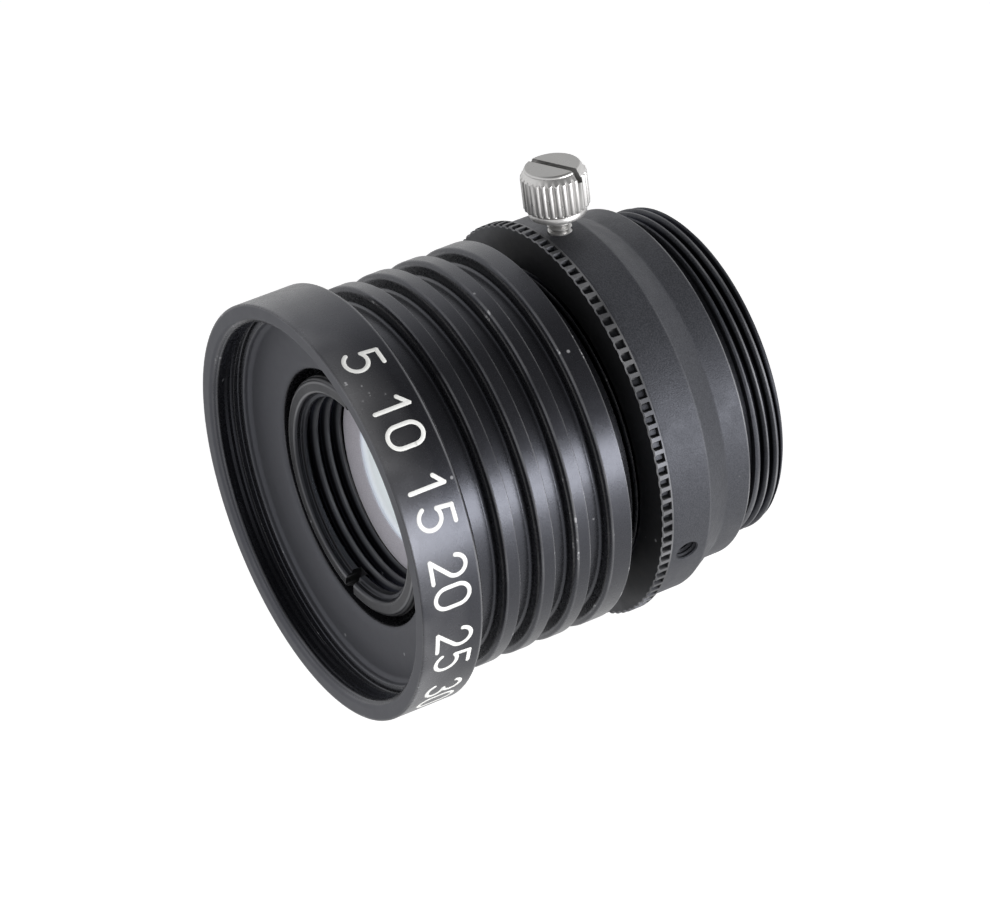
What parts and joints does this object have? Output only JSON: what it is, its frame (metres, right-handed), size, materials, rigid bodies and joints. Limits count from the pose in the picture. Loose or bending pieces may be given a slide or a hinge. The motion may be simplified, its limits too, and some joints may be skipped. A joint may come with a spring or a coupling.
{
  "type": "fixed magnification lens",
  "caption": "Fixed magnification lens: ribbed black barrel with glass optics, knurled lock ring and a screw-in camera mount body with a focus thumbscrew.",
  "frame": {"origin": "centre of the flange face that seats on the camera, on the optical axis", "axes": "+Y along the optical axis, back into the camera; +Z out through the thumbscrew; +X to the side"},
  "size_m": [0.032, 0.0329, 0.0361],
  "materials": {
    "gloss_black_aluminium": "gloss black anodised",
    "matte_black_aluminium": "bead blasted, black anodised",
    "inner_black_aluminium": "matte black anodised",
    "screw_steel": "nickel plated",
    "pad_nylon": "natural",
    "ring_rubber": "plain",
    "crown_glass": "polished and coated",
    "flint_glass": "polished and coated"
  },
  "bodies": {
    "mount": {"mount_body": "matte_black_aluminium", "pressure_pad": "pad_nylon"},
    "focus_carrier": {"damping_o_ring": "ring_rubber"},
    "barrel": {"outer_barrel": "gloss_black_aluminium", "lens_cell": "inner_black_aluminium", "front_retaining_ring": "inner_black_aluminium", "rear_retaining_ring": "inner_black_aluminium", "front_lens": "crown_glass", "second_lens": "crown_glass", "front_doublet_crown": "crown_glass", "front_doublet_flint": "flint_glass", "rear_doublet_flint": "flint_glass", "rear_doublet_crown": "crown_glass", "rear_lens": "crown_glass", "front_spacer": "inner_black_aluminium", "second_spacer": "inner_black_aluminium", "stop_spacer": "inner_black_aluminium", "rear_spacer": "inner_black_aluminium", "aperture_stop": "inner_black_aluminium"},
    "lock_ring": {"lock_ring": "gloss_black_aluminium"},
    "thumbscrew": {"thumbscrew": "screw_steel"}
  },
  "joints": [
    {"name": "focus_slide", "type": "slide", "parent": "mount", "child": "focus_carrier", "axis": [0, -1, 0], "range_m": [0, 0.001]},
    {"name": "focus_turn", "type": "hinge", "parent": "focus_carrier", "child": "barrel", "pos_m": [0, -0.0091, 0], "axis": [0, -1, 0], "range_deg": [0, 720]},
    {"name": "lock_ring_turn", "type": "hinge", "parent": "mount", "child": "lock_ring", "pos_m": [0, -0.0081, 0], "axis": [0, -1, 0], "range_deg": [0, 90]},
    {"name": "screw_turn", "type": "hinge", "parent": "mount", "child": "thumbscrew", "pos_m": [0, -0.0059, 0.0168], "axis": [0, 0, 1], "range_deg": [0, 360]}
  ],
  "couplings": [
    {"joint": "focus_slide", "follows": "focus_turn", "m_per_rad": 0.000079577}
  ]
}
